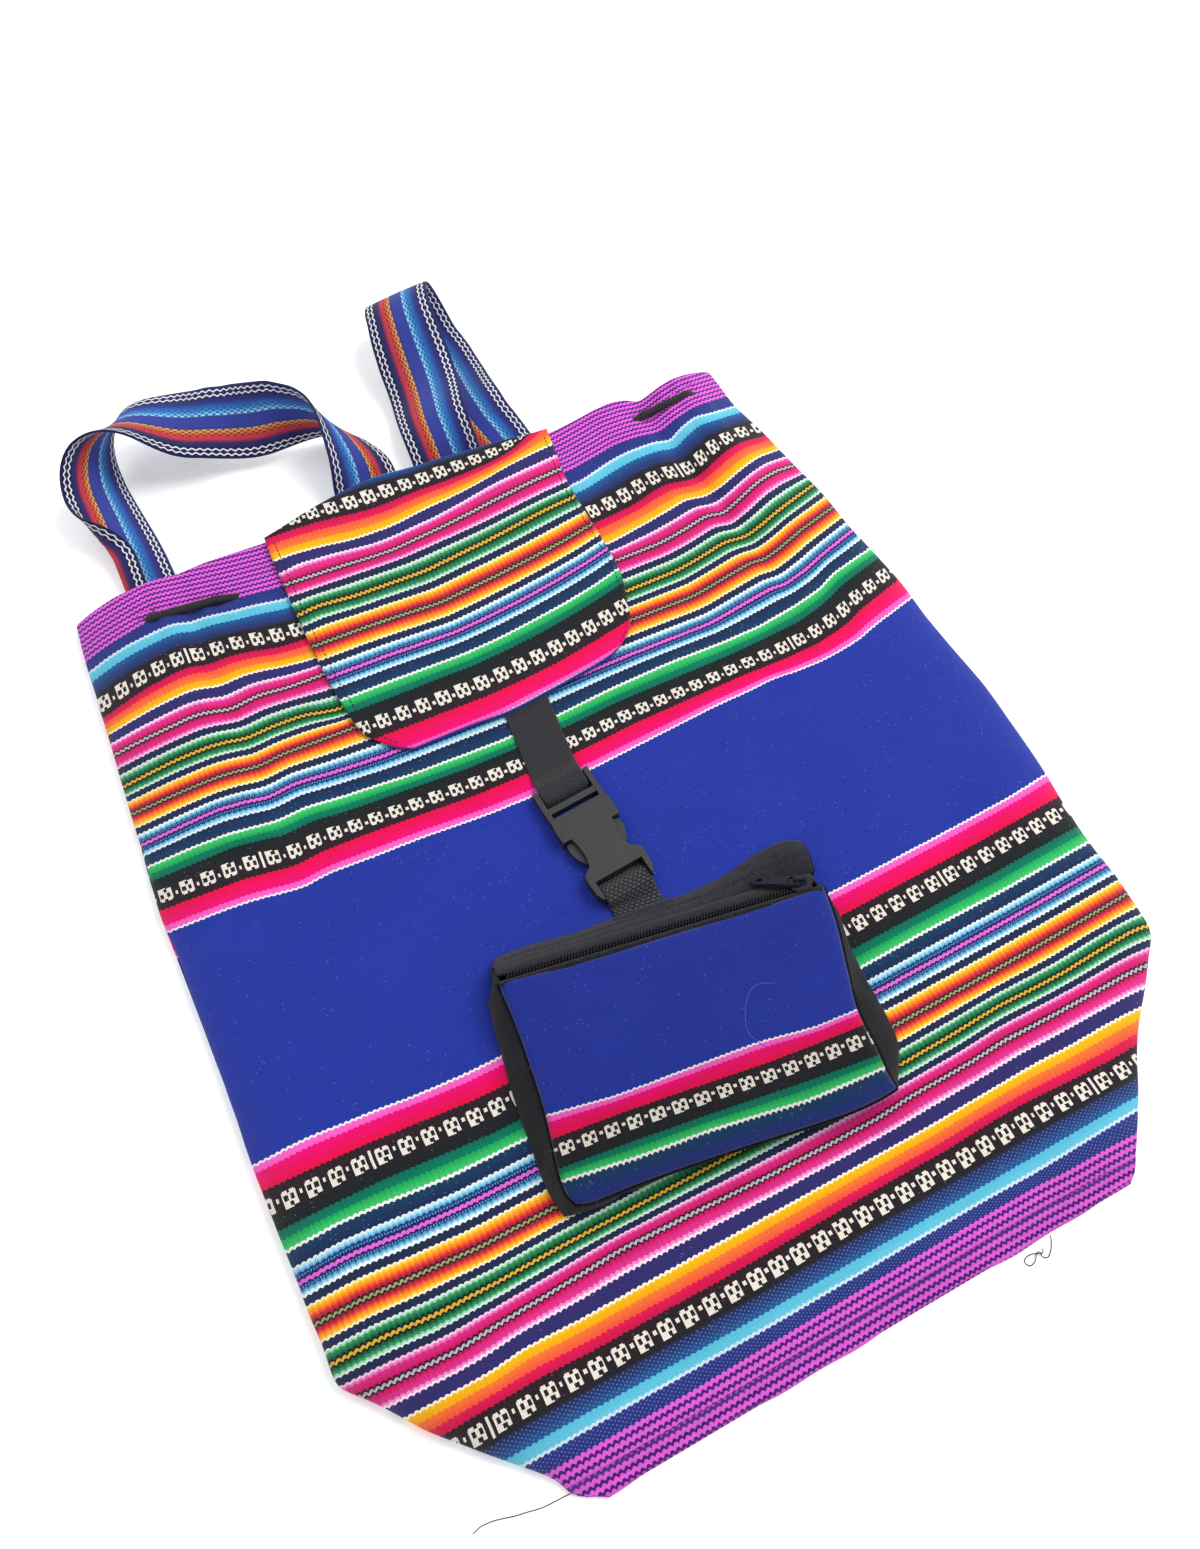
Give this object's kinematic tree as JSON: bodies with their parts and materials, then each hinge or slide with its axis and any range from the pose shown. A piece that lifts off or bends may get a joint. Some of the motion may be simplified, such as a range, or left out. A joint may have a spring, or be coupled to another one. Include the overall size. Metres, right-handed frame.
{
  "type": "backpack",
  "caption": "Soft drawstring backpack of striped woven cloth lying on its back, with a buckled flap, a zipped front pocket and woven shoulder straps.",
  "frame": {"origin": "on the resting face of the back panel, on the bag's middle line, 250 mm above the bottom seam", "axes": "+X across the bag, +Y from the bottom seam to the mouth and the shoulder straps, +Z out of the front, up as the bag lies on its back"},
  "size_m": [0.4219, 0.6292, 0.0461],
  "materials": {
    "striped_cloth": "handwoven cotton in crosswise stripes",
    "blue_cloth": "plain woven cotton, royal blue",
    "strap_band": "lengthwise striped woven band",
    "black_cord": "braided cord",
    "black_webbing": "twill webbing",
    "black_cloth": "plain woven cotton",
    "coil_plastic": "nylon coil",
    "buckle_plastic": "fine matte moulding",
    "slider_metal": "satin black coating"
  },
  "bodies": {
    "bag": {"front_panel": "striped_cloth", "back_panel": "striped_cloth", "drawcord": "black_cord", "flap": "striped_cloth", "flap_lining": "blue_cloth", "strap_left": "strap_band", "strap_right": "strap_band", "webbing_upper": "black_webbing", "webbing_lower": "black_webbing", "buckle_female": "buckle_plastic", "pocket_front": "blue_cloth", "pocket_gusset": "black_cloth", "pocket_zip_band": "black_cloth", "zipper_tape_upper": "black_cloth", "zipper_tape_lower": "black_cloth", "zipper_coil_upper": "coil_plastic", "zipper_coil_lower": "coil_plastic"},
    "buckle_male": {"buckle_male": "buckle_plastic"},
    "slider": {"zipper_slider": "slider_metal"},
    "pull": {"zipper_pull": "slider_metal"}
  },
  "joints": [
    {"name": "buckle_release", "type": "slide", "parent": "bag", "child": "buckle_male", "axis": [-0.0732, 0.9973, 0], "range_m": [0, 0.028], "deforming": ["buckle_male", "webbing_upper"]},
    {"name": "zipper_slide", "type": "slide", "parent": "bag", "child": "slider", "axis": [-0.986, 0.1668, 0], "range_m": [0, 0.125]},
    {"name": "pull_hinge", "type": "hinge", "parent": "slider", "child": "pull", "pos_m": [0.06249, -0.07238, 0.03868], "axis": [0.6811, 0.5023, -0.5327], "range_deg": [0, 165]}
  ]
}
